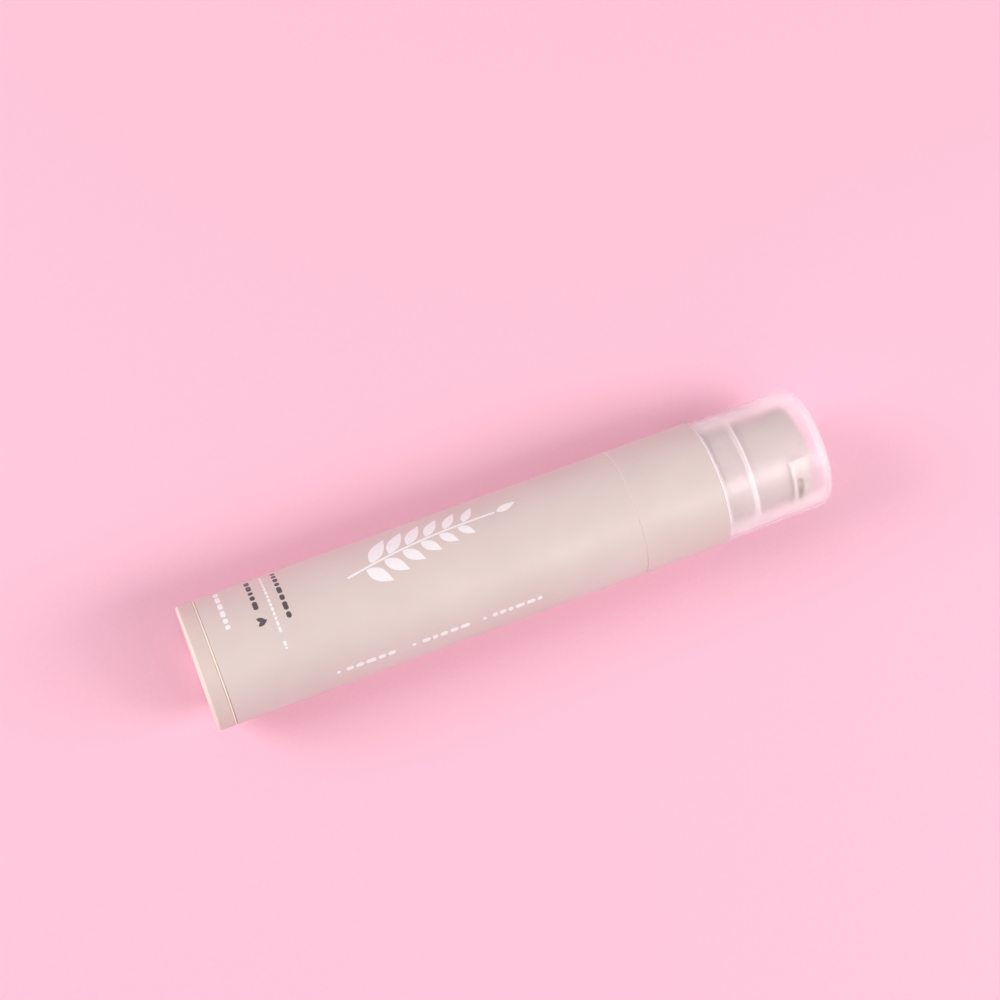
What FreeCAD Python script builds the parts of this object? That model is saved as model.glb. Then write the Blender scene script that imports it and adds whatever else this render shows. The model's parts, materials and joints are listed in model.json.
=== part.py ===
import FreeCAD, Part
import math
import os

# Airless pump dispenser for toothpaste, in millimetres.
# The pack stands upright: origin at the centre of the base, +Z up the axis, front of the print at -Y.

# Outer sizes
body_d = 31.0
base_band_h = 4.1
base_gap = 0.5
barrel_len = 104.0
sleeve_len = 21.6
band_h = 7.8
cap_h = 27.9

# Walls
barrel_wall = 1.5
neck_wall = 1.2
sleeve_wall = 1.2
sleeve_ledge_t = 1.4
collar_wall = 1.2
band_wall = 1.4
cap_wall = 1.2
cap_roof = 1.5
base_floor = 1.4
head_wall = 1.2
head_roof = 1.5
pump_wall = 1.2

# Clearances
fit_gap = 0.03
run_gap = 0.05
free_gap = 0.3
cap_play = 0.45
rib_play = 0.08
head_play = 0.7
cap_step = 0.05

# Edges that many pieces share, and how far features run into or past what they join or cut
edge_r = 0.2
soft_r = 0.3
inner_r = 0.5
chamfer = 0.4
root = 0.3
past = 1.0

# Base cap
base_plug_h = 6.0
base_plug_wall = 1.3
base_recess = 0.7
base_foot_w = 2.2
base_edge_r = 0.8
vent_r = 3.0
snap_h = 0.35
snap_drop = 1.6
base_rib_count = 6
base_rib_inset = 1.5
base_rib_t = 1.0
base_rib_h = 2.4

# Barrel
seam_bevel = 0.2
spigot_h = 4.0
spigot_bevel = 0.5
neck_h = 12.4
cone_h = 2.0
cone_drop = 0.6

# Overcap
cap_draft = 0.25
cap_corner_r = 2.5
cap_rim_r = 0.3
cap_rib_count = 6
cap_rib_w = 1.0
cap_rib_lift = 1.5
cap_rib_over = 1.0

# Sleeve and collar
sleeve_rim_r = 0.25
band_edge_r = 0.45

# Paste and follower
paste_column = 68.0
follower_wall = 1.1
follower_floor = 1.3
lip_h = 2.2
lip_flare = 0.45
lip_t = 0.35
lip_land = 0.4
crown_margin = 0.5
crown_dish = 0.9
well_rim_w = 1.2
well_round = 0.8
well_foot_gap = 0.1

# Pump chamber and inlet
chamber_r = 5.0
flange_t = 1.5
gasket_t = 0.8
gasket_inset = 0.1
gasket_overhang = 0.6
web_t = 1.5
guide_roof = 1.5
guide_reach = 0.3
rim_rise = 2.5
housing_foot_r = 0.8
inlet_hole_r = 1.2
inlet_floor_t = 1.3
ball_r = 2.0
ball_lift = 1.0
cage_roof = 1.3
cage_hole_r = 0.9
cage_skin = 0.9
cage_foot_h = 0.8
cage_slot_count = 4
cage_slot_w = 1.2

# Stem, piston and spring
stroke = 6.5
slip = 1.0
stem_r = 3.0
stem_bore_r = 1.9
stem_collar_r = 4.2
stem_collar_t = 1.0
plug_flange_r = 4.3
plug_flange_t = 1.2
plug_pin_h = 5.5
plug_nose_h = 2.0
plug_nose_r = 2.4
flute_w = 1.1
flute_depth = 0.9
port_r = 0.7
port_lift = 0.6
port_count = 4
piston_h = 4.0
piston_web_t = 1.6
piston_sleeve_t = 0.35
piston_room = 0.65
piston_waist = 0.2
piston_tip = 0.3
seal_land = 1.2
spring_len = 12.0
spring_wire_r = 0.35
spring_r = 3.6
spring_turns = 6.5

# Head
head_air = 2.1
head_edge_r = 1.6
dish_depth = 0.7
dish_r = 9.6
dish_flat_r = 5.8
dish_blend_r = 4.0
dish_lip_r = 1.2
socket_h = 11.0
hub_wall = 1.6
hub_below_socket = 0.6
head_rib_count = 6
head_rib_t = 0.9
head_rib_h = 7.0
head_roof_r = 1.0
head_floor_gap = 1.5
channel_r = 1.7
channel_wall = 1.2

# Nozzle
nozzle_turn = 46.0
nozzle_drop = 3.8
nozzle_plate_w = 15.0
nozzle_plate_h = 4.4
nozzle_plate_round = 1.3
nozzle_plate_t = 1.85
nozzle_proud = 1.2
nozzle_round = 0.45
nozzle_tail_r = 2.1
nozzle_tail_len = 3.4
nozzle_bore_r = 1.2
nozzle_backing_t = 1.2
nozzle_backing_h = 8.0
slot_w = 6.6
slot_h = 1.7
slot_drop = 0.75
slot_depth = 1.4

# Radii that follow from the sizes above
body_r = body_d / 2
bore_r = body_r - barrel_wall
sleeve_in_r = body_r - sleeve_wall
spigot_r = sleeve_in_r - fit_gap
collar_in_r = spigot_r - collar_wall
neck_r = collar_in_r - fit_gap
neck_in_r = neck_r - neck_wall
cap_r = body_r - cap_step
cap_in_r = cap_r - cap_wall
band_r = cap_in_r - cap_play
band_in_r = band_r - band_wall
head_r = band_in_r - head_play
head_in_r = head_r - head_wall
pump_out_r = chamber_r + pump_wall
guide_r = pump_out_r + fit_gap + pump_wall
web_hole_r = guide_r + free_gap
socket_r = stem_r + run_gap
hub_r = socket_r + hub_wall

# Heights that follow from the sizes above
barrel_z = base_band_h + base_gap
seam_z = barrel_z + barrel_len
rim_z = seam_z + sleeve_len
band_top_z = rim_z + band_h
top_z = rim_z + cap_h
neck_top_z = seam_z + neck_h
flange_z = neck_top_z + gasket_t
flange_top_z = flange_z + flange_t
web_top_z = flange_top_z + web_t
housing_top_z = flange_top_z + rim_rise
guide_top_z = housing_top_z + guide_roof
stop_z = flange_z - guide_reach
plug_seat_z = stop_z - stem_collar_t - slip - piston_h
spring_top_z = plug_seat_z - plug_flange_t
spring_z = spring_top_z - spring_len
cage_roof_z = spring_z - cage_roof
ball_z = cage_roof_z - ball_lift - ball_r
inlet_z = ball_z - math.sqrt(2) * (ball_r + run_gap) + inlet_hole_r
cage_z = inlet_z + inlet_floor_t
housing_z = inlet_z - inlet_floor_t
cone_z = seam_z - cone_drop - cone_h
crown_end_z = cone_z - crown_margin
crown_z = crown_end_z - paste_column
well_r = pump_out_r + 2 * free_gap
well_depth = crown_end_z - housing_z + crown_margin
follower_z = crown_z - well_depth - follower_floor
head_top_z = top_z - cap_roof - head_air
head_skirt_z = web_top_z + stroke + head_floor_gap
nozzle_z = head_top_z - nozzle_drop
nozzle_back_r = head_r + nozzle_proud - nozzle_plate_t
stem_top_z = nozzle_z - channel_r - hub_below_socket
socket_z = stem_top_z - socket_h
follower_travel = crown_end_z - crown_z

AXIS = FreeCAD.Vector(0, 0, 1)
ORIGIN = FreeCAD.Vector(0, 0, 0)


def corner(before, point, after, radius):
    """Return the start, middle and end of the arc that rounds one corner of an outline."""
    a = (before - point).normalize()
    b = (after - point).normalize()
    half = math.acos(max(-1.0, min(1.0, a.dot(b)))) / 2
    reach = radius / math.tan(half)
    centre = point + (a + b).normalize() * (radius / math.sin(half))
    middle = centre + (point - centre).normalize() * radius
    return point + a * reach, middle, point + b * reach


def outline(points):
    """Close an outline of (r, z) points; a third value rounds that corner."""
    places = [FreeCAD.Vector(p[0], 0, p[1]) for p in points]
    count = len(points)
    edges = []
    stops = []
    for i in range(count):
        if len(points[i]) == 3:
            arc = corner(places[i - 1], places[i], places[(i + 1) % count], points[i][2])
        else:
            arc = (places[i], None, places[i])
        stops.append(arc)
    for i in range(count):
        start, middle, end = stops[i]
        if middle is not None:
            edges.append(Part.Arc(start, middle, end).toShape())
        following = stops[(i + 1) % count][0]
        if (following - end).Length > 1e-6:
            edges.append(Part.LineSegment(end, following).toShape())
    return Part.Wire(edges)


def turned(points):
    """Revolve an outline of (r, z) points about the axis."""
    face = Part.Face(outline(points))
    return face.revolve(ORIGIN, AXIS, 360)


def tube(outer_r, inner_r, low, high):
    """A plain ring."""
    return turned([(inner_r, low), (outer_r, low), (outer_r, high), (inner_r, high)])


def rod(radius, low, high):
    """A plain round bar on the axis."""
    return Part.makeCylinder(radius, high - low, FreeCAD.Vector(0, 0, low))


def bar(x_low, x_high, width, low, high):
    """A straight bar along X, centred on the XZ plane."""
    return Part.makeBox(x_high - x_low, width, high - low, FreeCAD.Vector(x_low, -width / 2, low))


def around(shape, count, first=0.0):
    """Copies of a shape, evenly spaced about the axis."""
    copies = []
    for i in range(count):
        copy = shape.copy()
        copy.rotate(ORIGIN, AXIS, first + 360.0 * i / count)
        copies.append(copy)
    return copies


def slab(width, height, round_r, x_low, x_high, z_middle):
    """A plate across the X axis with an outline of the given width, height and corner radius."""
    w = width / 2 - round_r
    h = height / 2 - round_r
    lean = round_r * math.sqrt(0.5)
    corners = [(w, h, 1, 1), (-w, h, -1, 1), (-w, -h, -1, -1), (w, -h, 1, -1)]
    edges = []
    arcs = []
    for y, z, sy, sz in corners:
        side = FreeCAD.Vector(x_low, y + sy * round_r, z_middle + z)
        end = FreeCAD.Vector(x_low, y, z_middle + z + sz * round_r)
        middle = FreeCAD.Vector(x_low, y + sy * lean, z_middle + z + sz * lean)
        arcs.append((side, middle, end) if sy == sz else (end, middle, side))
    for i, (start, middle, end) in enumerate(arcs):
        edges.append(Part.Arc(start, middle, end).toShape())
        following = arcs[(i + 1) % 4][0]
        if (following - end).Length > 1e-6:
            edges.append(Part.LineSegment(end, following).toShape())
    face = Part.Face(Part.Wire(edges))
    return face.extrude(FreeCAD.Vector(x_high - x_low, 0, 0))


def base_cap():
    """Snap-in base: the visible band, a plug with a snap bead, a raised foot ring and a vent."""
    plug_r = bore_r - fit_gap
    plug_in_r = plug_r - base_plug_wall
    plug_top = base_band_h + base_plug_h
    floor_top = base_recess + base_floor
    foot_r = body_r - base_edge_r - base_foot_w
    bead_z = plug_top - snap_drop
    body = turned([
        (vent_r, base_recess), (foot_r, base_recess), (foot_r + chamfer, 0),
        (body_r, 0, base_edge_r), (body_r, base_band_h, edge_r), (plug_r, base_band_h),
        (plug_r, bead_z - 2 * snap_h), (plug_r + snap_h, bead_z), (plug_r, bead_z + snap_h),
        (plug_r - chamfer, plug_top), (plug_in_r, plug_top), (plug_in_r, floor_top, inner_r),
        (vent_r, floor_top),
    ])
    rib_in_r = vent_r + base_rib_inset
    rib = bar(rib_in_r, plug_in_r + root, base_rib_t, base_recess + root, floor_top + base_rib_h)
    return body.fuse(around(rib, base_rib_count)).removeSplitter()


def barrel():
    """The container: a plain bore for the follower, a spigot under the sleeve and a neck for the pump."""
    groove_z = base_band_h + base_plug_h - snap_drop
    groove_r = bore_r + snap_h
    return turned([
        (bore_r, barrel_z), (body_r, barrel_z, edge_r), (body_r, seam_z - seam_bevel),
        (body_r - seam_bevel, seam_z), (spigot_r, seam_z),
        (spigot_r, seam_z + spigot_h - spigot_bevel), (spigot_r - spigot_bevel, seam_z + spigot_h),
        (neck_r, seam_z + spigot_h), (neck_r, neck_top_z - chamfer), (neck_r - chamfer, neck_top_z),
        (neck_in_r, neck_top_z), (neck_in_r, cone_z + cone_h), (bore_r, cone_z),
        (bore_r, groove_z + snap_h + fit_gap), (groove_r + fit_gap, groove_z + fit_gap),
        (groove_r + fit_gap, groove_z - fit_gap), (bore_r, groove_z - 2 * snap_h - fit_gap),
    ])


def shoulder_sleeve():
    """Outer sleeve from the seam to the ledge that the overcap rests on."""
    ledge_r = band_r + fit_gap
    ledge_z = rim_z - sleeve_ledge_t
    return turned([
        (sleeve_in_r, seam_z), (body_r - seam_bevel, seam_z), (body_r, seam_z + seam_bevel),
        (body_r, rim_z, sleeve_rim_r), (ledge_r, rim_z), (ledge_r, ledge_z), (sleeve_in_r, ledge_z),
    ])


def lock_collar():
    """Collar that clamps the pump flange to the neck; its upper band holds the overcap."""
    skirt_z = seam_z + spigot_h + free_gap
    step_z = rim_z - sleeve_ledge_t
    return turned([
        (collar_in_r, skirt_z), (spigot_r, skirt_z, soft_r), (spigot_r, step_z, edge_r), (band_r, step_z),
        (band_r, band_top_z, band_edge_r), (band_in_r, band_top_z, band_edge_r),
        (band_in_r, web_top_z, inner_r), (web_hole_r, web_top_z, edge_r), (web_hole_r, flange_top_z),
        (collar_in_r, flange_top_z),
    ])


def housing_gasket():
    """Flat ring between the neck and the pump flange."""
    return tube(neck_r - gasket_inset, neck_in_r - gasket_overhang, neck_top_z, flange_z)


def pump_housing():
    """Pump chamber: a clamping flange, a plain bore and a conical seat for the inlet ball."""
    seat_top_r = inlet_hole_r + inlet_floor_t
    return turned([
        (inlet_hole_r, housing_z), (pump_out_r, housing_z, housing_foot_r), (pump_out_r, flange_z, inner_r),
        (neck_r, flange_z, edge_r), (neck_r, flange_top_z, edge_r), (pump_out_r, flange_top_z),
        (pump_out_r, housing_top_z - soft_r), (pump_out_r - soft_r, housing_top_z),
        (chamber_r, housing_top_z), (chamber_r, cage_z), (seat_top_r, cage_z), (inlet_hole_r, inlet_z),
    ])


def housing_guide():
    """Cap on the chamber that guides the stem and stops it at the top of its stroke."""
    hole_r = stem_r + run_gap
    plug_r = chamber_r - fit_gap
    skirt_r = pump_out_r + fit_gap
    return turned([
        (hole_r, stop_z), (plug_r, stop_z, soft_r), (plug_r, housing_top_z), (skirt_r, housing_top_z),
        (skirt_r, flange_top_z), (guide_r, flange_top_z), (guide_r, guide_top_z, inner_r),
        (hole_r, guide_top_z, soft_r),
    ])


def ball_cage():
    """Ribbed cage in the chamber's foot: it keeps the ball and seats the spring."""
    cage_r = chamber_r - fit_gap
    ball_room_r = ball_r + free_gap
    body = turned([
        (ball_room_r, cage_z), (cage_r, cage_z), (cage_r, spring_z, soft_r), (cage_hole_r, spring_z),
        (cage_hole_r, cage_roof_z), (ball_room_r, cage_roof_z),
    ])
    slot = bar(0, cage_r - cage_skin, cage_slot_w, cage_z + cage_foot_h, spring_z + past)
    return body.cut(around(slot, cage_slot_count)).removeSplitter()


def inlet_ball():
    """Check ball over the inlet."""
    return Part.makeSphere(ball_r, FreeCAD.Vector(0, 0, ball_z))


def return_spring():
    """Round-wire compression spring with both ends ground flat for their seats."""
    pitch = spring_len / spring_turns
    helix = Part.makeLongHelix(pitch, spring_len, spring_r)
    helix.translate(FreeCAD.Vector(0, 0, spring_z))
    start = FreeCAD.Vector(spring_r, 0, spring_z)
    heading = FreeCAD.Vector(0, 2 * math.pi * spring_r, pitch)
    section = Part.Wire(Part.makeCircle(spring_wire_r, start, heading))
    wire = Part.Wire(helix.Edges).makePipeShell([section], True, True)
    return wire.common(rod(spring_r + 2 * spring_wire_r, spring_z, spring_top_z))


def stem_plug():
    """Foot of the stem: the piston's seat, a nose inside the spring and a fluted pin in the stem."""
    pin_r = stem_bore_r - fit_gap
    pin_top_z = plug_seat_z + plug_pin_h
    body = turned([
        (0, spring_top_z - plug_nose_h), (plug_nose_r, spring_top_z - plug_nose_h, inner_r),
        (plug_nose_r, spring_top_z), (plug_flange_r, spring_top_z, soft_r),
        (plug_flange_r, plug_seat_z, edge_r), (pin_r, plug_seat_z), (pin_r, pin_top_z, soft_r),
        (0, pin_top_z),
    ])
    flute = bar(pin_r - flute_depth, pin_r + past, flute_w, plug_seat_z + edge_r, pin_top_z + past)
    return body.cut(around(flute, port_count)).removeSplitter()


def pump_stem():
    """Hollow stem with a stop collar and inlet ports above its foot."""
    collar_z = stop_z - stem_collar_t
    port_z = plug_seat_z + port_r + port_lift
    body = turned([
        (stem_bore_r, plug_seat_z), (stem_r, plug_seat_z), (stem_r, collar_z),
        (stem_collar_r, collar_z, edge_r), (stem_collar_r, stop_z, edge_r), (stem_r, stop_z),
        (stem_r, stem_top_z - chamfer), (stem_r - chamfer, stem_top_z), (stem_bore_r, stem_top_z),
    ])
    return body.cut(around(side_hole(port_r, 0, stem_r + past, port_z), port_count))


def pump_piston():
    """Sliding seal: an inner sleeve on the stem, a web, and two outer lips on the chamber wall."""
    low = plug_seat_z
    high = low + piston_h
    hole_r = stem_r + run_gap
    room_r = hole_r + piston_room
    sleeve_r = room_r + piston_sleeve_t
    lip_r = chamber_r - run_gap
    waist_r = lip_r - piston_waist
    web_low = low + (piston_h - piston_web_t) / 2
    web_high = web_low + piston_web_t
    return turned([
        (room_r, low), (sleeve_r, low), (sleeve_r, web_low), (lip_r - lip_t, web_low - soft_r),
        (lip_r, low + piston_tip), (lip_r, low + piston_tip + lip_land), (waist_r, web_low + piston_waist),
        (waist_r, web_high - piston_waist), (lip_r, high - piston_tip - lip_land),
        (lip_r, high - piston_tip), (lip_r - lip_t, web_high + soft_r), (sleeve_r, web_high),
        (sleeve_r, high), (hole_r, high), (hole_r, high - seal_land), (room_r, high - seal_land - inner_r),
    ])


def follower_piston():
    """Wiper piston under the paste: a crown with a well that clears the chamber, and two lips."""
    skirt_r = bore_r - run_gap - lip_flare
    lip_r = bore_r - run_gap
    skirt_in_r = skirt_r - follower_wall
    well_in_r = well_r + follower_wall
    well_floor = crown_z - well_depth
    return turned([
        (0, follower_z), (well_in_r, follower_z, inner_r), (well_in_r, crown_z - follower_floor, inner_r),
        (skirt_in_r, crown_z - follower_floor, inner_r), (skirt_in_r, follower_z),
        (lip_r - lip_t, follower_z), (lip_r, follower_z + chamfer), (lip_r, follower_z + chamfer + lip_land),
        (skirt_r, follower_z + lip_h), (skirt_r, crown_z - lip_h), (lip_r, crown_z - chamfer - lip_land),
        (lip_r, crown_z - chamfer), (lip_r - lip_t, crown_z), (lip_r - 2 * lip_t, crown_z),
        (skirt_r - chamfer, crown_z - crown_dish), (well_r + well_rim_w, crown_z - crown_dish),
        (well_r + inner_r, crown_z), (well_r, crown_z - inner_r), (well_r, well_floor, well_round),
        (0, well_floor),
    ])


def paste_fill():
    """The paste: it fills the bore above the follower, its well and the room around the chamber."""
    skin = fit_gap
    fill_top = neck_top_z - skin
    chamber_clear_r = pump_out_r + skin
    low_z = crown_z + skin
    foot_z = crown_z - well_depth + well_foot_gap
    foot_bevel = well_round + well_foot_gap
    return turned([
        (0, foot_z), (well_r - foot_bevel, foot_z), (well_r - skin, foot_z + foot_bevel),
        (well_r - skin, low_z), (bore_r - skin, low_z), (bore_r - skin, cone_z),
        (neck_in_r - skin, cone_z + cone_h), (neck_in_r - skin, fill_top), (chamber_clear_r, fill_top),
        (chamber_clear_r, housing_z - skin), (0, housing_z - skin),
    ])


def side_hole(radius, x_low, x_high, z):
    """A round bar along X at a height, for ports and channels."""
    start = FreeCAD.Vector(x_low, 0, z)
    return Part.makeCylinder(radius, x_high - x_low, start, FreeCAD.Vector(1, 0, 0))


def nozzle_frame(shape):
    """Turn a shape built along +X to the side that the nozzle points to."""
    shape.rotate(ORIGIN, AXIS, nozzle_turn - 90)
    return shape


def nozzle_plate(gap):
    """The nozzle's raised face, grown by a gap where it cuts its own pocket in the head."""
    round_r = nozzle_plate_round + gap
    plate = slab(nozzle_plate_w + 2 * gap, nozzle_plate_h + 2 * gap, round_r, 0, head_r * 2, nozzle_z)
    return plate.common(tube(head_r + nozzle_proud, nozzle_back_r - gap, head_skirt_z, top_z))


def actuator_head():
    """Push button: dished top, thin skirt, ribs, a hub for the stem and the channel to the nozzle."""
    dish_z = head_top_z - dish_depth
    roof_z = dish_z - head_roof
    join_r = head_in_r + root
    join_z = roof_z + root
    shell = turned([
        (0, dish_z), (dish_flat_r, dish_z, dish_blend_r), (dish_r, head_top_z, dish_lip_r),
        (head_r, head_top_z, head_edge_r), (head_r, head_skirt_z, soft_r), (head_in_r, head_skirt_z),
        (head_in_r, roof_z, head_roof_r), (0, roof_z),
    ])
    hub = rod(hub_r, socket_z, join_z)
    rib = bar(hub_r - root, join_r, head_rib_t, roof_z - head_rib_h, join_z)
    channel_out_r = max(channel_r, nozzle_tail_r + fit_gap) + channel_wall
    channel = side_hole(channel_out_r, 0, join_r, nozzle_z)
    web = bar(0, join_r, 2 * channel_out_r, nozzle_z, join_z)
    backing = rod(join_r, nozzle_z - nozzle_backing_h / 2, join_z)
    backing = backing.cut(rod(head_in_r - nozzle_backing_t, 0, top_z))
    backing_w = nozzle_plate_w + 2 * nozzle_backing_t
    backing = backing.common(slab(backing_w, nozzle_backing_h, nozzle_plate_round, 0, head_r, nozzle_z))
    body = shell.fuse([hub, nozzle_frame(channel), nozzle_frame(web), nozzle_frame(backing)])
    body = body.fuse(around(rib, head_rib_count, nozzle_turn - 90 + 180.0 / head_rib_count))
    socket = rod(socket_r, socket_z - past, stem_top_z)
    riser = rod(stem_bore_r, stem_top_z - past, nozzle_z + channel_r)
    bore = side_hole(channel_r, 0, head_r, nozzle_z)
    tail_x = nozzle_back_r - nozzle_tail_len - fit_gap
    tail = side_hole(nozzle_tail_r + fit_gap, tail_x, head_r, nozzle_z)
    cuts = [socket, riser, nozzle_frame(bore), nozzle_frame(tail), nozzle_frame(nozzle_plate(fit_gap))]
    return body.cut(cuts).removeSplitter()


def nozzle_insert():
    """Nozzle: a curved face plate with an oval outlet and a round tail in the head's channel."""
    tail_x = nozzle_back_r - nozzle_tail_len
    outlet_x = head_r + nozzle_proud - slot_depth
    tail = side_hole(nozzle_tail_r, tail_x, nozzle_back_r + root, nozzle_z)
    feed = side_hole(nozzle_bore_r, tail_x - past, outlet_x + root, nozzle_z)
    outlet = slab(slot_w, slot_h, slot_h / 2, outlet_x, head_r * 2, nozzle_z - slot_drop)
    body = nozzle_plate(0).fuse(tail)
    rim = [edge for edge in body.Edges if is_on_face(edge)]
    body = body.makeFillet(nozzle_round, rim)
    return nozzle_frame(body.cut([feed, outlet]).removeSplitter())


def is_on_face(edge):
    """Whether an edge runs round the nozzle plate's outer face."""
    face_r = head_r + nozzle_proud
    return all(abs(math.hypot(v.X, v.Y) - face_r) < 1e-4 for v in edge.Vertexes)


def overcap():
    """Frosted cap: slight draft, rounded crown and inner ribs that grip the collar's band."""
    outer_top_r = cap_r - cap_draft
    inner_top_r = cap_in_r - cap_draft
    inner_corner_r = max(soft_r, cap_corner_r - cap_wall)
    roof_z = top_z - cap_roof
    shell = turned([
        (0, top_z), (outer_top_r, top_z, cap_corner_r), (cap_r, rim_z, cap_rim_r),
        (cap_in_r, rim_z, cap_rim_r), (inner_top_r, roof_z, inner_corner_r), (0, roof_z),
    ])
    rib = bar(band_in_r, cap_in_r + root, cap_rib_w, rim_z + cap_rib_lift, band_top_z + cap_rib_over)
    rib = rib.cut(rod(band_r + rib_play, rim_z, top_z))
    return shell.fuse(around(rib, cap_rib_count)).removeSplitter()


def build():
    """Write each piece to its own file."""
    makers = [
        overcap, actuator_head, nozzle_insert, shoulder_sleeve, lock_collar, barrel, base_cap,
        follower_piston, housing_gasket, pump_housing, housing_guide, pump_stem, stem_plug,
        pump_piston, return_spring, ball_cage, inlet_ball, paste_fill,
    ]
    os.makedirs("parts", exist_ok=True)
    for maker in makers:
        shape = maker()
        if len(shape.Solids) != 1 or not shape.isValid():
            raise ValueError(f"{maker.__name__}: {len(shape.Solids)} solids, valid {shape.isValid()}")
        shape.Solids[0].exportStep(f"parts/{maker.__name__}.step")
        box = shape.optimalBoundingBox(False, False)
        print(f"{maker.__name__:18s} z {box.ZMin:7.2f} to {box.ZMax:7.2f}  volume {shape.Volume:9.1f}")
    print(f"follower travel {follower_travel:.2f}")


build()
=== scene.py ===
import json
import math
import random

import bmesh
import bpy
from mathutils import Matrix, Vector

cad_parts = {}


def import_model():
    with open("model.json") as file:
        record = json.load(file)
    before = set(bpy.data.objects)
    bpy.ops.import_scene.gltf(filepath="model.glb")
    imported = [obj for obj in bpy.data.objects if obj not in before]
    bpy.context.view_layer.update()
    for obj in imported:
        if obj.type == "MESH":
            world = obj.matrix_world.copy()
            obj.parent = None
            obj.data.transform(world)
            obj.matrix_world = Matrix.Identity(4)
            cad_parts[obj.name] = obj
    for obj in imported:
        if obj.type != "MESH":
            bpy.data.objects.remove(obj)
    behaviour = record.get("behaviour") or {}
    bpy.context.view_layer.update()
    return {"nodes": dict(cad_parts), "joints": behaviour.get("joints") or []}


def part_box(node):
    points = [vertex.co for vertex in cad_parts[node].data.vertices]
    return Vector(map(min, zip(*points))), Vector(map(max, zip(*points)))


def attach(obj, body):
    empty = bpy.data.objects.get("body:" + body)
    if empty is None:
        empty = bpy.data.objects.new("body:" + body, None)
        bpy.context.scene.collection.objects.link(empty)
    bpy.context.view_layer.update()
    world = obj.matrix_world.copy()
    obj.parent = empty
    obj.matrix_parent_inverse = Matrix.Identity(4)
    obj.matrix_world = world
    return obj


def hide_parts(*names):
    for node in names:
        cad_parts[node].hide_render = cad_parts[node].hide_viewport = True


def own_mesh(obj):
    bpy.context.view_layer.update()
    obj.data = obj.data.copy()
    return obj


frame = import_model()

# Toothpaste pump dispenser, dressed for the camera. Lengths in millimetres are turned to metres by MM.
# The pack stands upright in its own frame, and the photograph looks down on it lying down, so the
# surface that it lies on is an upright wall behind it here, and the camera is rolled on its side.
# Colours are sRGB from 0 to 255.

MM = 0.001

# Camera, fitted to the photograph
CAMERA_PLACE = Vector((0.0, -545.26, -5.75))
CAMERA_AIM = Vector((-13.13, 0.0, 81.52))
CAMERA_LENS = 82.69
CAMERA_SENSOR = 36.0
AXIS_CLIMB = math.radians(19.90)

# Wall behind the pack and its surroundings
WALL_SIZE = 3000.0
WALL_GAP = 0.02
WALL_COLOUR = (253, 199, 219)
WORLD_SEEN = (254, 202, 222)
WORLD_LIGHT = (255, 246, 247)
WORLD_STRENGTH = 0.46

# Lamps: direction from the pack's middle, distance, width, length, watts and colour
PACK_MIDDLE = 79
FRONT_LAMPS = {
    "light_low": ((0.6, -1.0, 1.15), 900, 400, 560, 3.1, (255, 250, 249)),
    "light_cap_side": ((0.5, -1.0, 0.4), 700, 260, 320, 0.85, (255, 250, 248)),
    "light_base_side": ((-0.6, -1.0, -1.25), 900, 400, 400, 3.75, (255, 250, 251)),
}
BACK_LAMP = ((-0.1, 1.0, 0.3), 900, 520, 520, 1.0, (238, 255, 250))
CONTACT_LAMP = ((0, 1, 0), 40, 10, 122, 0.0014, (255, 228, 234))
CONTACT_LAMP_Z = 66
CONTACT_LAMP_SPREAD = math.radians(36)

# Plastics: darker tone, paler tone, least roughness and most roughness
BARREL_LOOK = ((221, 206, 201), (227, 213, 208), 0.38, 0.48)
BASE_LOOK = ((221, 203, 195), (228, 211, 203), 0.38, 0.48)
# Head, nozzle and collar: a darker grey than the barrel's, as painted shade under the frosted cap
HEAD_LOOK = ((188, 177, 171), (196, 185, 179), 0.28, 0.36)
NOZZLE_LOOK = ((194, 183, 177), (202, 191, 185), 0.28, 0.36)
COLLAR_LOOK = ((187, 175, 171), (195, 183, 179), 0.26, 0.32)
NATURAL_LOOK = ((228, 228, 224), (238, 238, 234), 0.3, 0.42)
SOFT_LOOK = ((236, 234, 226), (243, 241, 234), 0.42, 0.55)
GASKET_LOOK = ((214, 214, 211), (222, 222, 219), 0.6, 0.75)

# Plastics: how light bends in the pack's own, how deep it goes in soft ones, and the noise span tones follow
PLASTIC_IOR = 1.49
SOFT_DEPTH = 0.001
NOISE_LOW = 0.3
NOISE_HIGH = 0.7

# Seam between barrel and sleeve: how far its painted highlight, a paler line on the two edges, reaches each
# way
SEAM_HIGHLIGHT_REACH = 0.16
SEAM_HIGHLIGHT_COLOUR = (236, 223, 218)

# Base: painted highlights as cream lines on its outer rim and on its lip, and the lip in the gap above the
# band
CREAM_HIGHLIGHT = (255, 243, 230)
BASE_RIM_HIGHLIGHT_LOW = 0.4
BASE_RIM_HIGHLIGHT_HIGH = 0.7
LIP_LOW = 4.1
LIP_H = 0.42
LIP_SINK = 0.06
LIP_DEPTH = 1.2
LIP_CHAMFER = 0.08
LIP_HIGHLIGHT_LINE = 0.1
LIP_SIDES = 192

# Nozzle plate and collar: painted highlights on their edges, and painted light with a glow inside the
# plate's slot
PLATE_HIGHLIGHT_LOW = 0.3
PLATE_HIGHLIGHT_HIGH = 0.7
PLATE_HIGHLIGHT_COLOUR = (236, 227, 222)
SLOT_R_LOW = 10.8
SLOT_R_HIGH = 11.2
SLOT_PAINTED_LIGHT_COLOUR = (255, 246, 241)
SLOT_PAINTED_GLOW_COLOUR = (255, 222, 216)
SLOT_PAINTED_GLOW = 0.16
COLLAR_HIGHLIGHT_LOW = 0.5
COLLAR_HIGHLIGHT_HIGH = 0.3
COLLAR_HIGHLIGHT_COLOUR = (253, 244, 241)

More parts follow.
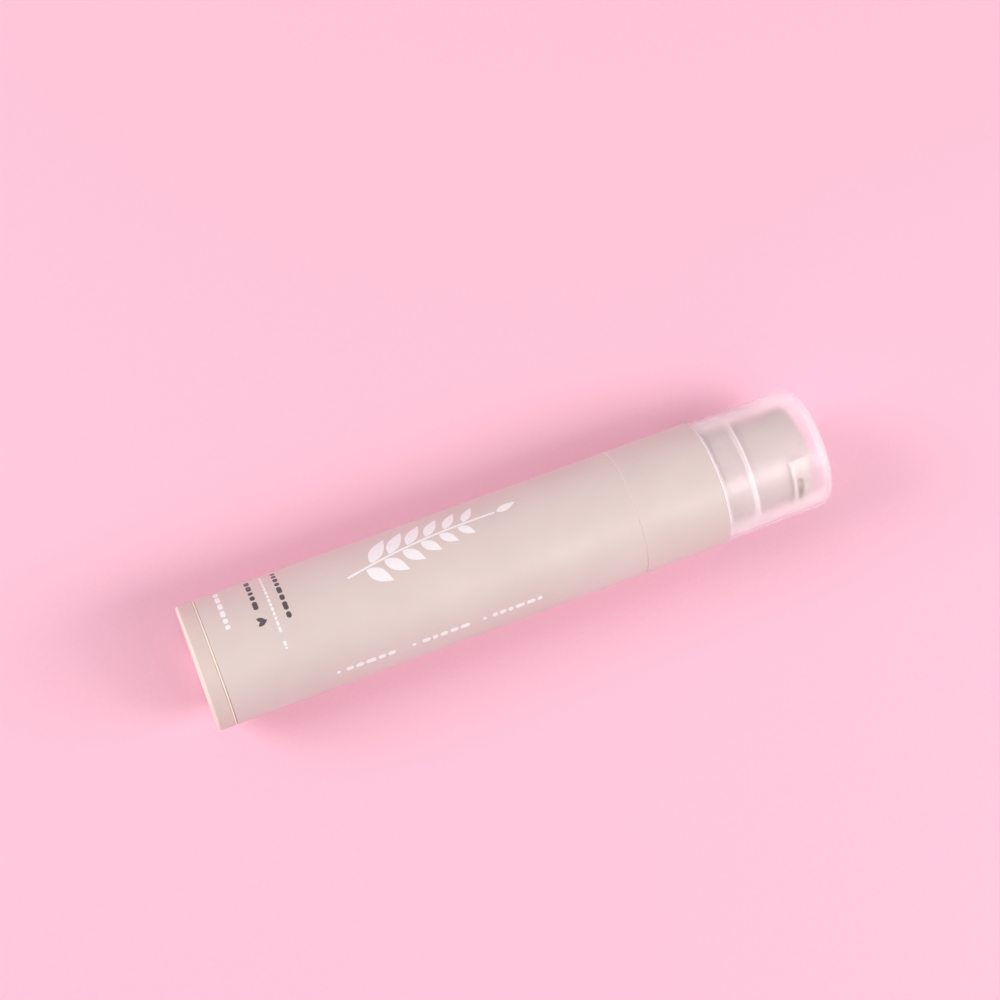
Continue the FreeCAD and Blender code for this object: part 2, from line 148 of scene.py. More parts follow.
# Frosted cap: what one wall lets through of a lamp's light, how clear it looks, and the painted glow it has
# where it is less clear
FROST_SHADE = (238, 236, 237)
FROST_CLEAR = 0.93
FROST_CLEAR_RIM = 0.3
FROST_CLEAR_ROOF = 0.4
FROST_CLEAR_RING = 0.46
FROST_CLEAR_SLANT = 0.3
FROST_PAINTED_GLOW = 0.08
FROST_PAINTED_GLOW_COLOUR = (255, 208, 222)
FROST_IOR = 1.12
FROST_COAT = 0.6
FROST_COAT_GLOSS = 0.35

# Frosted cap: heights of its rim, roof and grip ring, and the slants at which it whitens and thins out
FROST_RIM = 1.0
FROST_ROOF = 2.6
FROST_ROOF_T = 1.6
FROST_STEP = 0.4
FROST_WHITE_LOW = 0.32
FROST_WHITE_HIGH = 0.62
FROST_THIN_LOW = 0.25
FROST_THIN_HIGH = 0.9

# Print: how thick the ink is, and how finely it is cut to follow the barrel
INK_SINK = 0.03
INK_LIFT = 0.012
INK_STEP = 0.6

# Print, the bars: their least and most length, rounding and gap as shares of a bar's width
SEED = 11
BAR_LEAST = 0.6
BAR_SHORT = 0.9
BAR_LONG = 2.1
BAR_ROUND = 0.42
BAR_GAP = 0.45

# Print, the row along the side: degrees from the front, and each dot's height with its bars' span
SIDE_ANGLE = 51
SIDE_BAR_W = 1.25
SIDE_DOT_R = 0.5
SIDE_RUNS = ((30.4, 32.3, 45.6), (49.2, 51.2, 63.3), (66.9, 68.9, 82.1))

# Print, the rows around the base: height, bar width, and spans in degrees from the front
BASE_ROW = (9.7, 1.2, ((-75, -22),))
FINE_ROW = (20.7, 0.62, ((-75, -3), (3, 10)))
DARK_ROW_HIGH = (23.8, 1.15, ((-75, -14),))
DARK_ROW_LOW = (17.3, 1.2, ((-75, -30),))

# Print, the dark leaf pair: degrees from the front and heading of each, then height, length and width
LEAF_PAIR = ((-23, 30), (-16, -24))
LEAF_PAIR_Z = 16.4
LEAF_PAIR_L = 2.6
LEAF_PAIR_W = 1.1

# Print, the sprig: foot and tip as degrees from the front and height, and leaves that shrink upwards
SPRIG_FOOT = (-30, 39.5)
SPRIG_TIP = (-43, 77.5)
SPRIG_STEPS = 24
SPRIG_BOW = 1.3
SPRIG_STALK_W = 0.55
SPRIG_PAIRS = 6
SPRIG_PAIR_STEPS = 3
SPRIG_LEAF = 8.2
SPRIG_LEAF_LESS = 0.55

# Print, the sprig's two sides: first step, offset, heading, and length and width as shares of the leaf
SPRIG_SIDES = ((3, 0.5, 44, 0.86, 0.4), (4, -0.5, -52, 1, 0.42))
SPRIG_TOP_LIFT = 0.4
SPRIG_TOP_LEAF = (-12, 5.2, 2.1)

# Spring
SPRING_WIRE_R = 0.35
SPRING_TURNS = 6.5
COIL_STEPS = 36
COIL_SIDES = 12

# Paste: its gap to the follower, and the radii that it has in chamber, well, core and neck
PASTE_SKIN = 0.1
CHAMBER_R = 6.3
WELL_R = 6.7
CORE_R = 5.9
NECK_R = 12.2
NECK_SLOPE_LOW = 0.5
NECK_SLOPE_HIGH = 2.6

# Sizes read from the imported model, in millimetres
low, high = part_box("barrel")
BARREL_R = high[0] / MM
WALL_Y = high[1] / MM + WALL_GAP


def linear(colour, level=1.0):
    """An sRGB colour of 0 to 255 as linear red, green, blue and alpha."""
    channels = []
    for share in (c / 255 for c in colour):
        channels.append(level * (share / 12.92 if share <= 0.04045 else ((share + 0.055) / 1.055) ** 2.4))
    return (*channels, 1.0)


def unit(vector):
    return Vector(vector).normalized()


# Camera

def camera():
    """Look from the photograph's place, rolled so that the pack's axis climbs to the right."""
    data = bpy.data.cameras.new("camera")
    data.lens = CAMERA_LENS
    data.sensor_width = CAMERA_SENSOR
    data.clip_start = 0.01
    data.clip_end = 20
    place = bpy.data.objects.new("camera", data)
    forward = (CAMERA_AIM - CAMERA_PLACE).normalized()
    along = (Vector((0, 0, 1)) - forward * forward.z).normalized()
    across = forward.cross(along)
    right = along * math.cos(AXIS_CLIMB) + across * math.sin(AXIS_CLIMB)
    down = across * math.cos(AXIS_CLIMB) - along * math.sin(AXIS_CLIMB)
    turn = Matrix((right, -down, -forward)).transposed().to_4x4()
    place.matrix_world = Matrix.Translation(CAMERA_PLACE * MM) @ turn
    bpy.context.collection.objects.link(place)
    bpy.context.scene.camera = place


# Lights and wall

def softbox(name, towards, distance, width, length, watts, colour):
    """A rectangular soft light that faces the middle of the pack from a direction."""
    data = bpy.data.lights.new(name, "AREA")
    data.shape = "RECTANGLE"
    data.size = width * MM
    data.size_y = length * MM
    data.energy = watts
    data.color = linear(colour)[:3]
    lamp = bpy.data.objects.new(name, data)
    middle = Vector((0, 0, PACK_MIDDLE))
    lamp.location = (middle + unit(towards) * distance) * MM
    lamp.rotation_mode = "QUATERNION"
    lamp.rotation_quaternion = unit(towards).to_track_quat("Z", "Y")
    bpy.context.collection.objects.link(lamp)
    return lamp


def back_lights():
    """Light from behind for the pack's back, a wide one and a strip where the pack touches the wall."""
    wide = softbox("light_back", *BACK_LAMP)
    strip = softbox("light_contact", *CONTACT_LAMP)
    strip.location.z = CONTACT_LAMP_Z * MM
    strip.data.spread = CONTACT_LAMP_SPREAD
    for lamp in (wide, strip):
        lamp.data.use_shadow = False
        lamp.visible_camera = False


def world():
    """Pale even surroundings: the camera sees the wall's colour, and the light is nearly white."""
    made = bpy.data.worlds.new("surroundings")
    made.use_nodes = True
    tree = made.node_tree
    tree.nodes.clear()
    seen = tree.nodes.new("ShaderNodeBackground")
    seen.inputs["Color"].default_value = linear(WORLD_SEEN)
    light = tree.nodes.new("ShaderNodeBackground")
    light.inputs["Color"].default_value = linear(WORLD_LIGHT)
    light.inputs["Strength"].default_value = WORLD_STRENGTH
    rays = tree.nodes.new("ShaderNodeLightPath")
    out = tree.nodes.new("ShaderNodeOutputWorld")
    both = mixed(tree, rays.outputs["Is Camera Ray"], light.outputs[0], seen.outputs[0])
    tree.links.new(both, out.inputs["Surface"])
    bpy.context.scene.world = made


def wall():
    """The pale surface that the pack lies on, seen from its front only."""
    mesh = bpy.data.meshes.new("wall")
    half = WALL_SIZE / 2 * MM
    corners = [(-half, 0, -half), (half, 0, -half), (half, 0, half), (-half, 0, half)]
    mesh.from_pydata(corners, [], [(0, 1, 2, 3)])
    backdrop = bpy.data.objects.new("wall", mesh)
    backdrop.location = (0, WALL_Y * MM, PACK_MIDDLE * MM)
    bpy.context.collection.objects.link(backdrop)
    mesh.materials.append(wall_material())


def wall_material():
    """Matte pink card with a faint grain. From behind it is clear, so that the pack's back can be seen."""
    material, tree, shader, out = surface("wall")
    shader.inputs["Roughness"].default_value = 0.9
    shader.inputs["Specular IOR Level"].default_value = 0.1
    grain = noise(tree, 900, 3, 0.6)
    tint(tree, shader, grain, WALL_COLOUR, WALL_COLOUR, 0.985, 1.015)
    bump(tree, shader, grain, 0.00004, 0.35)
    side = tree.nodes.new("ShaderNodeNewGeometry")
    clear = tree.nodes.new("ShaderNodeBsdfTransparent")
    both = mixed(tree, side.outputs["Backfacing"], shader.outputs[0], clear.outputs[0])
    tree.links.new(both, out.inputs["Surface"])
    return material


# Material building blocks

def surface(name):
    """A new material with one Principled shader."""
    material = bpy.data.materials.new(name)
    material.use_nodes = True
    tree = material.node_tree
    shader = tree.nodes["Principled BSDF"]
    out = tree.nodes["Material Output"]
    return material, tree, shader, out


def noise(tree, scale, detail, roughness):
    """Noise in the piece's own space, so it rides with the piece."""
    place = tree.nodes.new("ShaderNodeTexCoord")
    node = tree.nodes.new("ShaderNodeTexNoise")
    node.inputs["Scale"].default_value = scale
    node.inputs["Detail"].default_value = detail
    node.inputs["Roughness"].default_value = roughness
    tree.links.new(place.outputs["Object"], node.inputs["Vector"])
    return node.outputs["Fac"]


def height(tree):
    """How high a point is in the piece's own space, in metres."""
    place = tree.nodes.new("ShaderNodeTexCoord")
    split = tree.nodes.new("ShaderNodeSeparateXYZ")
    tree.links.new(place.outputs["Object"], split.inputs["Vector"])
    return split.outputs["Z"]


def radius(tree):
    """How far a point is from the axis in the piece's own space, in metres."""
    place = tree.nodes.new("ShaderNodeTexCoord")
    flat = tree.nodes.new("ShaderNodeVectorMath")
    flat.operation = "MULTIPLY"
    flat.inputs[1].default_value = (1, 1, 0)
    reach = tree.nodes.new("ShaderNodeVectorMath")
    reach.operation = "LENGTH"
    tree.links.new(place.outputs["Object"], flat.inputs[0])
    tree.links.new(flat.outputs["Vector"], reach.inputs[0])
    return reach.outputs["Value"]


def tint(tree, shader, factor, dark, light, dark_level=1.0, light_level=1.0):
    """Base colour that drifts between two tones with a factor."""
    mix = tree.nodes.new("ShaderNodeMix")
    mix.data_type = "RGBA"
    mix.inputs["A"].default_value = linear(dark, dark_level)
    mix.inputs["B"].default_value = linear(light, light_level)
    tree.links.new(spread(tree, factor, 0.0, 1.0), mix.inputs["Factor"])
    tree.links.new(mix.outputs["Result"], shader.inputs["Base Color"])


def stretch(tree, factor, from_low, from_high, to_low, to_high):
    """Map a factor from one range to another."""
    node = tree.nodes.new("ShaderNodeMapRange")
    node.inputs["From Min"].default_value = from_low
    node.inputs["From Max"].default_value = from_high
    node.inputs["To Min"].default_value = to_low
    node.inputs["To Max"].default_value = to_high
    tree.links.new(factor, node.inputs["Value"])
    return node.outputs["Result"]


def spread(tree, drift, to_low, to_high):
    """Map the middle span of a noise to a range."""
    return stretch(tree, drift, NOISE_LOW, NOISE_HIGH, to_low, to_high)


def gloss(tree, shader, grain, low, high):
    """Roughness that varies with a noise."""
    tree.links.new(spread(tree, grain, low, high), shader.inputs["Roughness"])


def near(tree, value, middle, reach):
    """One where a value is within reach of a middle, or else nothing."""
    node = tree.nodes.new("ShaderNodeMath")
    node.operation = "COMPARE"
    node.inputs[1].default_value = middle
    node.inputs[2].default_value = reach
    tree.links.new(value, node.inputs[0])
    return node.outputs[0]


def least(tree, first, second):
    """The smaller of two factors."""
    node = tree.nodes.new("ShaderNodeMath")
    node.operation = "MINIMUM"
    tree.links.new(first, node.inputs[0])
    tree.links.new(second, node.inputs[1])
    return node.outputs[0]


def mixed(tree, factor, first, second):
    """Two shaders mixed by a factor."""
    node = tree.nodes.new("ShaderNodeMixShader")
    tree.links.new(factor, node.inputs["Fac"])
    tree.links.new(first, node.inputs[1])
    tree.links.new(second, node.inputs[2])
    return node.outputs[0]


def overlay(tree, shader, factor, colour):
    """A second tone laid over the base colour by a factor."""
    under = shader.inputs["Base Color"].links[0].from_socket
    mix = tree.nodes.new("ShaderNodeMix")
    mix.data_type = "RGBA"
    mix.inputs["B"].default_value = linear(colour)
    tree.links.new(factor, mix.inputs["Factor"])
    tree.links.new(under, mix.inputs["A"])
    tree.links.new(mix.outputs["Result"], shader.inputs["Base Color"])


def bump(tree, shader, factor, depth, strength):
    """Fine relief, with its depth in metres."""
    node = tree.nodes.new("ShaderNodeBump")
    node.inputs["Strength"].default_value = strength
    node.inputs["Distance"].default_value = depth
    tree.links.new(factor, node.inputs["Height"])
    tree.links.new(node.outputs["Normal"], shader.inputs["Normal"])


def soften(shader, weight):
    """Let light in under the surface."""
    shader.inputs["Subsurface Weight"].default_value = weight
    shader.inputs["Subsurface Scale"].default_value = SOFT_DEPTH


def moulded(name, dark, light, rough_low, rough_high, grain_scale=3200, grain_depth=0.000012):
    """Moulded plastic: tone that drifts slowly, a fine spark-eroded grain and uneven gloss."""
    material, tree, shader, _ = surface(name)
    drift = noise(tree, 55, 3, 0.55)
    grain = noise(tree, grain_scale, 2, 0.5)
    tint(tree, shader, drift, dark, light)
    gloss(tree, shader, grain, rough_low, rough_high)
    bump(tree, shader, grain, grain_depth, 0.5)
    return material, tree, shader


def satin(name, dark, light, rough_low, rough_high):
    """The pack's own plastic."""
    material, tree, shader = moulded(name, dark, light, rough_low, rough_high)
    shader.inputs["IOR"].default_value = PLASTIC_IOR
    return material, tree, shader


def barrel_plastic():
    """Warm grey, with a painted highlight on the two edges that meet at the seam, so that it shows as a pale
    hairline.
    """
    material, tree, shader = satin("barrel_plastic", *BARREL_LOOK)
    # Painted highlight: the seam's edges are paler, as if they caught the light.
    seam = near(tree, height(tree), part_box("shoulder_sleeve")[0][2], SEAM_HIGHLIGHT_REACH * MM)
    overlay(tree, shader, seam, SEAM_HIGHLIGHT_COLOUR)
    return material


def base_plastic():
    """The band's warmer grey, with painted highlights as cream lines on its outer rim and on the lip that
    the barrel meets.
    """
    material, tree, shader = satin("base_plastic", *BASE_LOOK)
    up = height(tree)
    # Painted highlights: cream lines where the rim and the lip would catch the light.
    overlay(tree, shader, stretch(tree, up, BASE_RIM_HIGHLIGHT_LOW * MM, BASE_RIM_HIGHLIGHT_HIGH * MM, 1.0, 0.0), CREAM_HIGHLIGHT)
    overlay(tree, shader, stretch(tree, up, LIP_LOW * MM, (LIP_LOW + LIP_HIGHLIGHT_LINE) * MM, 0.0, 1.0), CREAM_HIGHLIGHT)
    return material


def head_plastic():
    return satin("head_plastic", *HEAD_LOOK)[0]


def nozzle_plastic():
    """The head's darker grey, painted shade under the cap, with a painted highlight along the plate's lower
    edge and painted light with a faint glow inside its slot.
    """
    material, tree, shader = satin("nozzle_plastic", *NOZZLE_LOOK)
    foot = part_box("nozzle_insert")[0][2]
    # Painted highlight along the plate's lower edge.
    edge = stretch(tree, height(tree), foot + PLATE_HIGHLIGHT_LOW * MM, foot + PLATE_HIGHLIGHT_HIGH * MM, 1.0, 0.0)
    overlay(tree, shader, edge, PLATE_HIGHLIGHT_COLOUR)
    # Painted light inside the slot: paler and faintly glowing where it would lie in shade.
    inside = stretch(tree, radius(tree), SLOT_R_LOW * MM, SLOT_R_HIGH * MM, 1.0, 0.0)
    overlay(tree, shader, inside, SLOT_PAINTED_LIGHT_COLOUR)
    shader.inputs["Emission Color"].default_value = linear(SLOT_PAINTED_GLOW_COLOUR)
    tree.links.new(stretch(tree, inside, 0.0, 1.0, 0.0, SLOT_PAINTED_GLOW), shader.inputs["Emission Strength"])
    return material


def collar_plastic():
    """The head's darker grey, painted shade under the cap, with a painted highlight: a paler line where the
    collar's top edge catches the light.
    """
    material, tree, shader = satin("collar_plastic", *COLLAR_LOOK)
    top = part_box("lock_collar")[1][2]
    # Painted highlight on the collar's top edge.
    edge = stretch(tree, height(tree), top - COLLAR_HIGHLIGHT_LOW * MM, top - COLLAR_HIGHLIGHT_HIGH * MM, 0.0, 1.0)
    overlay(tree, shader, edge, COLLAR_HIGHLIGHT_COLOUR)
    return material


def frosted_plastic():
    """Clear plastic with a satin bite: it blurs what is behind it, and light passes to what it covers. It
    has a painted pink glow where it is less clear.
    """
    material, tree, shader, out = surface("frosted_plastic")
    drift = noise(tree, 70, 2, 0.5)
    grain = noise(tree, 2600, 2, 0.5)
    tint(tree, shader, drift, (251, 245, 248), (254, 249, 251))
    gloss(tree, shader, grain, 0.38, 0.46)
    bump(tree, shader, grain, 0.00001, 0.3)
    shader.inputs["IOR"].default_value = FROST_IOR
    shader.inputs["Coat Weight"].default_value = FROST_COAT
    shader.inputs["Coat Roughness"].default_value = FROST_COAT_GLOSS
    shader.inputs["Coat IOR"].default_value = PLASTIC_IOR
    slant = tree.nodes.new("ShaderNodeLayerWeight")
    slant.inputs["Blend"].default_value = 0.5
    clarity = frost_clarity(tree, slant.outputs["Facing"])
    tree.links.new(clarity, shader.inputs["Transmission Weight"])
    # Painted glow: the cap gives off faint pink light where it is less clear, at its rim, roof, ring and
    # slanting walls.
    shader.inputs["Emission Color"].default_value = linear(FROST_PAINTED_GLOW_COLOUR)
    glow = stretch(tree, clarity, FROST_CLEAR_SLANT, FROST_CLEAR, FROST_PAINTED_GLOW, 0.0)
    tree.links.new(glow, shader.inputs["Emission Strength"])
    rays = tree.nodes.new("ShaderNodeLightPath")
    thin = stretch(tree, slant.outputs["Facing"], FROST_THIN_LOW, FROST_THIN_HIGH, 0.0, 1.0)
    clear = tree.nodes.new("ShaderNodeBsdfTransparent")
    seen = mixed(tree, thin, shader.outputs[0], clear.outputs[0])
    shade = tree.nodes.new("ShaderNodeBsdfTransparent")
    shade.inputs["Color"].default_value = linear(FROST_SHADE)
    both = mixed(tree, rays.outputs["Is Shadow Ray"], seen, shade.outputs[0])
    tree.links.new(both, out.inputs["Surface"])
    return material


def frost_clarity(tree, facing):
    """How clear the cap is: whiter at its rim, its roof, its grip ring and where the wall slants away."""
    up = height(tree)
    cap_low, cap_high = (corner[2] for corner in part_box("overcap"))
    rim = stretch(tree, up, cap_low, cap_low + FROST_RIM * MM, FROST_CLEAR_RIM, FROST_CLEAR)
    roof_low, roof_high = cap_high - FROST_ROOF * MM, cap_high - FROST_ROOF_T * MM
    roof = stretch(tree, up, roof_low, roof_high, FROST_CLEAR, FROST_CLEAR_ROOF)
    edge = stretch(tree, facing, FROST_WHITE_LOW, FROST_WHITE_HIGH, FROST_CLEAR, FROST_CLEAR_SLANT)
    half_step = FROST_STEP / 2 * MM
    line = near(tree, up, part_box("lock_collar")[1][2] + half_step, half_step)
    ring = stretch(tree, line, 0.0, 1.0, FROST_CLEAR, FROST_CLEAR_RING)
    return least(tree, least(tree, rim, roof), least(tree, ring, edge))


def natural_plastic():
    material, _, shader = moulded("natural_plastic", *NATURAL_LOOK, grain_scale=2400)
    soften(shader, 0.3)
    return material


def soft_plastic():
    material, _, shader = moulded("soft_plastic", *SOFT_LOOK, grain_scale=1800)
    soften(shader, 0.4)
    return material


def gasket_rubber():
    return moulded("gasket_rubber", *GASKET_LOOK, grain_scale=1500, grain_depth=0.00003)[0]


def steel(name, rough_low, rough_high, scale):
    """Bright stainless steel with fine drawing marks."""
    material, tree, shader, _ = surface(name)
    marks = noise(tree, scale, 4, 0.6)
    tint(tree, shader, marks, (176, 177, 180), (206, 207, 209))
    gloss(tree, shader, marks, rough_low, rough_high)
    bump(tree, shader, marks, 0.000004, 0.4)
    shader.inputs["Metallic"].default_value = 1.0
    return material


def paste_material():
    """White paste with soft folds and a wet skin."""
    material, tree, shader, _ = surface("paste")
    folds = noise(tree, 160, 4, 0.55)
    tint(tree, shader, folds, (236, 240, 240), (247, 249, 248))
    gloss(tree, shader, folds, 0.22, 0.34)
    bump(tree, shader, folds, 0.0003, 0.5)
    soften(shader, 0.2)
    return material


def ink(name, dark, light):
    """Screen-printed ink: nearly even, with pinholes of gloss."""
    material, tree, shader, _ = surface(name)
    cover = noise(tree, 1400, 3, 0.6)
    tint(tree, shader, cover, dark, light)
    gloss(tree, shader, cover, 0.3, 0.42)
    bump(tree, shader, cover, 0.000006, 0.4)
    return material


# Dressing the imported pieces

def dress(node, material):
    """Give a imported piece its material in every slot."""
    mesh = frame["nodes"][node].data
    mesh.materials.clear()
    mesh.materials.append(material)
    for face in mesh.polygons:
        face.material_index = 0


def dress_all():
    shell = barrel_plastic()
    natural = natural_plastic()
    soft = soft_plastic()
    finishes = {
        "barrel": shell,
        "shoulder_sleeve": shell,
        "base_cap": base_plastic(),
        "overcap": frosted_plastic(),
        "actuator_head": head_plastic(),
        "nozzle_insert": nozzle_plastic(),
        "lock_collar": collar_plastic(),
        "pump_housing": natural,
        "housing_guide": natural,
        "ball_cage": natural,
        "stem_plug": natural,
        "pump_stem": natural,
        "follower_piston": soft,
        "pump_piston": soft,
        "housing_gasket": gasket_rubber(),
        "inlet_ball": steel("ball_steel", 0.08, 0.14, 900),
    }
    for node, material in finishes.items():
        dress(node, material)


# Pieces made here

def in_order(bm):
    """Faces as lists of vertex numbers, in an order that is the same in each run."""
    bm.verts.index_update()
    faces = []
    for face in bm.faces:
        ring = [vert.index for vert in face.verts]
        first = ring.index(min(ring))
        faces.append(ring[first:] + ring[:first])
    return sorted(faces)


def new_piece(name, bm, material, body):
    """Turn a mesh in millimetres into a piece that rides on a body."""
    bmesh.ops.scale(bm, vec=(MM, MM, MM), verts=bm.verts)
    bmesh.ops.recalc_face_normals(bm, faces=bm.faces)
    mesh = bpy.data.meshes.new(name)
    mesh.from_pydata([vert.co[:] for vert in bm.verts], [], in_order(bm))
    bm.free()
    mesh.materials.append(material)
    piece = bpy.data.objects.new(name, mesh)
    bpy.context.collection.objects.link(piece)
    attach(piece, body)
    return piece


def smooth(piece):
    for face in piece.data.polygons:
        face.use_smooth = True


# Print: flat outlines of (around, along) millimetres, wrapped on the barrel as thin ink

def disc(u, v, r, count=28):
    steps = [2 * math.pi * i / count for i in range(count)]
    return [(u + r * math.cos(a), v + r * math.sin(a)) for a in steps]


def pill(u_low, u_high, v_low, v_high, round_r):
    """A bar with rounded corners."""
    corners = [(u_high, v_high, 0), (u_low, v_high, 90), (u_low, v_low, 180), (u_high, v_low, 270)]
    points = []
    for u, v, first in corners:
        centre_u = u - round_r if u == u_high else u + round_r
        centre_v = v - round_r if v == v_high else v + round_r
        for k in range(5):
            a = math.radians(first + 22.5 * k)
            points.append((centre_u + round_r * math.cos(a), centre_v + round_r * math.sin(a)))
    return points


def leaf(u, v, heading, length, width, count=12):
    """A pointed leaf from its foot at (u, v), along a heading in degrees from the pack's axis."""
    along = (math.sin(math.radians(heading)), math.cos(math.radians(heading)))
    side = (along[1], -along[0])
    points = []
    for k in range(2 * count):
        t = k / count if k <= count else 2 - k / count
        half = width / 2 * math.sin(math.pi * t ** 0.8) * (1 if k <= count else -1)
        at_u = u + along[0] * length * t + side[0] * half
        at_v = v + along[1] * length * t + side[1] * half
        points.append((at_u, at_v))
    return points


def ribbon(path, width):
    """A strip of the given width along a path."""
    left, right = [], []
    for i, (u, v) in enumerate(path):
        before = path[max(0, i - 1)]
        after = path[min(len(path) - 1, i + 1)]
        du, dv = after[0] - before[0], after[1] - before[1]
        size = math.hypot(du, dv)
        left.append((u - dv / size * width / 2, v + du / size * width / 2))
        right.append((u + dv / size * width / 2, v - du / size * width / 2))
    return left + right[::-1]


def printed(name, outlines, material):
    """Wrap flat outlines on the barrel as thin closed layers of ink."""
    bm = bmesh.new()
    for points in outlines:
        bm.faces.new([bm.verts.new((u, v, 0)) for u, v in points])
    bmesh.ops.triangulate(bm, faces=bm.faces[:])
    reach = [p[0] for points in outlines for p in points]
    cut = math.ceil(min(reach) / INK_STEP) * INK_STEP
    while cut < max(reach):
        everything = bm.verts[:] + bm.edges[:] + bm.faces[:]
        bmesh.ops.bisect_plane(bm, geom=everything, plane_co=(cut, 0, 0), plane_no=(1, 0, 0))
        cut += INK_STEP
    raised = bmesh.ops.extrude_face_region(bm, geom=bm.faces[:])
    for item in raised["geom"]:
        if isinstance(item, bmesh.types.BMVert):
            item.co.z = 1
    for vert in bm.verts:
        angle = vert.co.x / BARREL_R
        ink_r = BARREL_R + (INK_LIFT if vert.co.z > 0.5 else -INK_SINK)
        vert.co = (ink_r * math.sin(angle), -ink_r * math.cos(angle), vert.co.y)
    return new_piece(name, bm, material, "container")


def around(degrees):
    """Arc length on the barrel for an angle from the front."""
    return math.radians(degrees) * BARREL_R


def dashes(draw, start, end, middle, width, across):
    """A run of short rounded bars of uneven length, along the axis or around the barrel."""
    bars = []
    at = start
    while at < end - width * BAR_LEAST:
        size = min(draw.uniform(BAR_SHORT, BAR_LONG) * width, end - at)
        round_r = min(width, size) * BAR_ROUND
        if across:
            bars.append(pill(at, at + size, middle - width / 2, middle + width / 2, round_r))
        else:
            bars.append(pill(middle - width / 2, middle + width / 2, at, at + size, round_r))
        at += size + width * BAR_GAP
    return bars


def row_around(draw, middle, width, spans):
    """Runs of bars around the barrel at one height."""
    bars = []
    for start, end in spans:
        bars += dashes(draw, around(start), around(end), middle, width, True)
    return bars


def sprig():
    """A leafy twig along the pack, in place of the large print."""
    foot = (around(SPRIG_FOOT[0]), SPRIG_FOOT[1])
    tip = (around(SPRIG_TIP[0]), SPRIG_TIP[1])
    path = []
    for k in range(SPRIG_STEPS + 1):
        t = k / SPRIG_STEPS
        bow = SPRIG_BOW * math.sin(math.pi * t)
        path.append((foot[0] + (tip[0] - foot[0]) * t - bow, foot[1] + (tip[1] - foot[1]) * t))
    outlines = [ribbon(path, SPRIG_STALK_W)]
    for k in range(SPRIG_PAIRS):
        size = SPRIG_LEAF - SPRIG_LEAF_LESS * k
        for first, offset, heading, length, width in SPRIG_SIDES:
            u, v = path[first + SPRIG_PAIR_STEPS * k]
            outlines.append(leaf(u + offset, v, heading, size * length, size * width))
    u, v = path[-1]
    outlines.append(leaf(u, v + SPRIG_TOP_LIFT, *SPRIG_TOP_LEAF))
    return outlines


def print_on_barrel():
    """The sprig and the rows, drawn at random from one seed."""
    white = ink("ink_white", (250, 247, 249), (255, 253, 254))
    dark = ink("ink_dark", (88, 80, 84), (100, 92, 96))
    draw = random.Random(SEED)
    printed("print_sprig", sprig(), white)
    row = []
    for dot, start, end in SIDE_RUNS:
        row.append(disc(around(SIDE_ANGLE), dot, SIDE_DOT_R))
        row += dashes(draw, start, end, around(SIDE_ANGLE), SIDE_BAR_W, False)
    printed("print_side_row", row, white)
    printed("print_base_row", row_around(draw, *BASE_ROW), white)
    printed("print_fine_row", row_around(draw, *FINE_ROW), white)
    printed("print_dark_row_high", row_around(draw, *DARK_ROW_HIGH), dark)
    low_row = row_around(draw, *DARK_ROW_LOW)
    for angle, heading in LEAF_PAIR:
        low_row.append(leaf(around(angle), LEAF_PAIR_Z, heading, LEAF_PAIR_L, LEAF_PAIR_W))
    printed("print_dark_row_low", low_row, dark)


# Spring and paste

def coil(bm, coil_r, wire_r, z_low, z_high, turns):
    """A round wire wound in a helix, with its ends ground flat."""
    steps = int(turns * COIL_STEPS)
    rings = []
    for i in range(steps + 1):
        a = 2 * math.pi * turns * i / steps
        z = z_low + (z_high - z_low) * i / steps
        ring = []
        for k in range(COIL_SIDES):
            b = 2 * math.pi * k / COIL_SIDES
            r = coil_r + wire_r * math.cos(b)
            ground = min(max(z + wire_r * math.sin(b), z_low), z_high)
            ring.append(bm.verts.new((r * math.cos(a), r * math.sin(a), ground)))
        rings.append(ring)
    for first, second in zip(rings, rings[1:]):
        for k in range(COIL_SIDES):
            after = (k + 1) % COIL_SIDES
            bm.faces.new((first[k], first[after], second[after], second[k]))
    bm.faces.new(rings[0])
    bm.faces.new(rings[-1])


def spring():
    """The return spring, wound from round steel wire."""
    box_low, box_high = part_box("return_spring")
    z_low, z_high = box_low[2] / MM, box_high[2] / MM
    bm = bmesh.new()
    coil(bm, box_high[0] / MM - SPRING_WIRE_R, SPRING_WIRE_R, z_low, z_high, SPRING_TURNS)
    wire = steel("spring_steel", 0.16, 0.26, 2600)
    piece = new_piece("spring_wire", bm, wire, "container")
    smooth(piece)
    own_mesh(piece)
    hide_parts("return_spring")


def joint_range(name):
    """How far a sliding joint travels, in millimetres."""
    for joint in frame["joints"]:
        if joint["name"] == name:
            return (joint["range_m"][1] - joint["range_m"][0]) / MM
    raise ValueError(name)


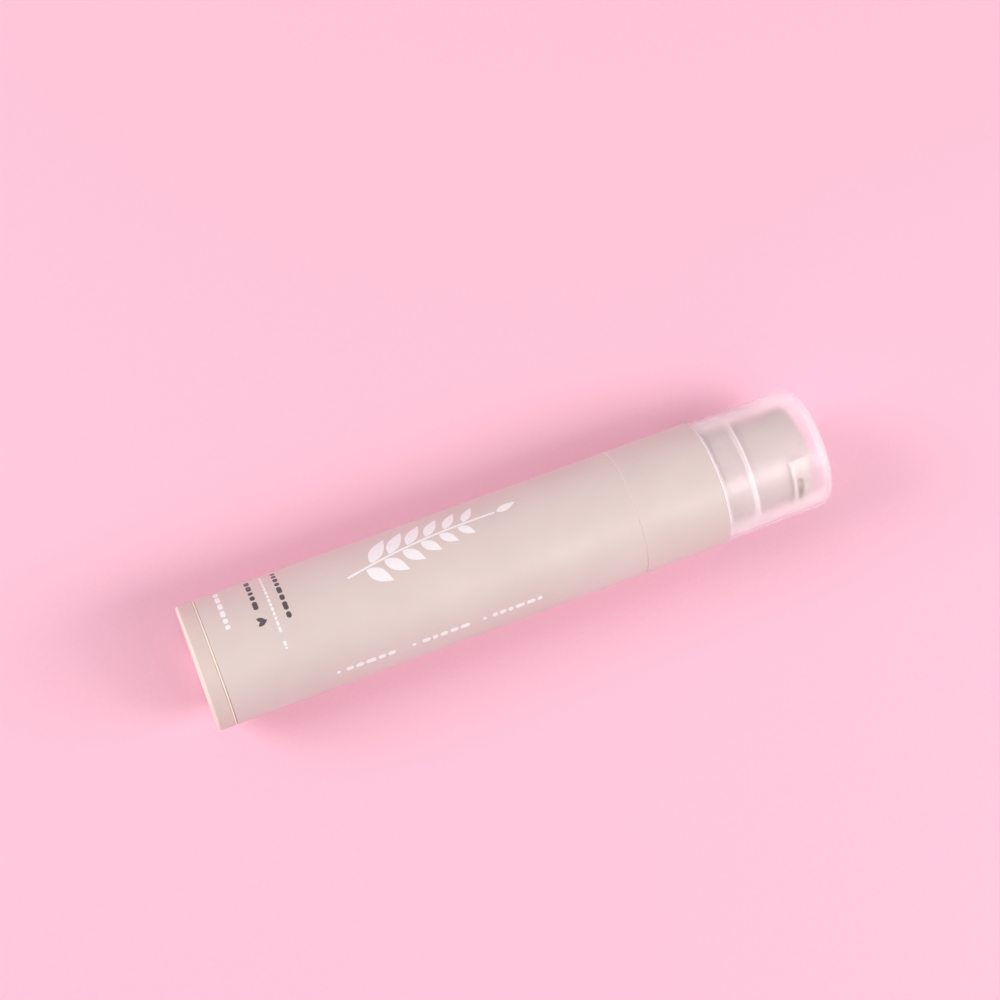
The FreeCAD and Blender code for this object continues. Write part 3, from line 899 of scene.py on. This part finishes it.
def turned(name, outline, material, sides=96):
    """A solid of revolution from a closed outline of (r, z) points; points on the axis are shared."""
    bm = bmesh.new()
    rings = []
    for r, z in outline:
        if r < 1e-6:
            rings.append([bm.verts.new((0, 0, z))] * sides)
            continue
        steps = [2 * math.pi * k / sides for k in range(sides)]
        rings.append([bm.verts.new((r * math.cos(a), r * math.sin(a), z)) for a in steps])
    count = len(rings)
    for i in range(count):
        first, second = rings[i], rings[(i + 1) % count]
        if first[0] is first[1] and second[0] is second[1]:
            continue
        for k in range(sides):
            after = (k + 1) % sides
            corners = [first[k], first[after], second[after], second[k]]
            bm.faces.new(list(dict.fromkeys(corners)))
    return new_piece(name, bm, material, "container")


def base_lip():
    """The base's locating lip, which closes the gap under the barrel to a hairline."""
    outer = BARREL_R - LIP_SINK
    inner = outer - LIP_DEPTH
    top = LIP_LOW + LIP_H
    turned("base_lip", [
        (inner, LIP_LOW), (outer, LIP_LOW), (outer, top - LIP_CHAMFER),
        (outer - LIP_CHAMFER, top), (inner, top),
    ], bpy.data.materials["base_plastic"], LIP_SIDES)


def paste():
    """The paste in three parts: what the follower sweeps, what its well takes up, and the neck's ring."""
    material = paste_material()
    box_low, box_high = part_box("paste_fill")
    bore_r = box_high[0] / MM
    top = box_high[2] / MM
    travel = joint_range("follower_rise")
    swept_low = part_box("follower_piston")[1][2] / MM + PASTE_SKIN
    swept_high = swept_low + travel
    core_low = box_low[2] / MM + PASTE_SKIN
    housing_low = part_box("pump_housing")[0][2] / MM
    core_high = housing_low - PASTE_SKIN
    swept = turned("paste_swept", [
        (WELL_R, swept_low), (bore_r, swept_low), (bore_r, swept_high),
        (CHAMBER_R, swept_high), (CHAMBER_R, housing_low), (WELL_R, housing_low),
    ], material)
    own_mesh(swept)
    core = turned("paste_core", [
        (0, core_low), (CORE_R, core_low), (CORE_R, core_high), (0, core_high),
    ], material)
    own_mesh(core)
    neck_low = swept_high - PASTE_SKIN
    neck = turned("paste_neck", [
        (CHAMBER_R, swept_high), (bore_r, swept_high), (bore_r, neck_low + NECK_SLOPE_LOW),
        (NECK_R, neck_low + NECK_SLOPE_HIGH), (NECK_R, top), (CHAMBER_R, top),
    ], material)
    for piece in (swept, core, neck):
        smooth(piece)
    for piece in (neck, swept, core):
        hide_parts("paste_fill")


bpy.context.scene.view_settings.view_transform = "Standard"
camera()
world()
wall()
for lamp_name, lamp_values in FRONT_LAMPS.items():
    softbox(lamp_name, *lamp_values)
back_lights()
dress_all()
base_lip()
print_on_barrel()
spring()
paste()
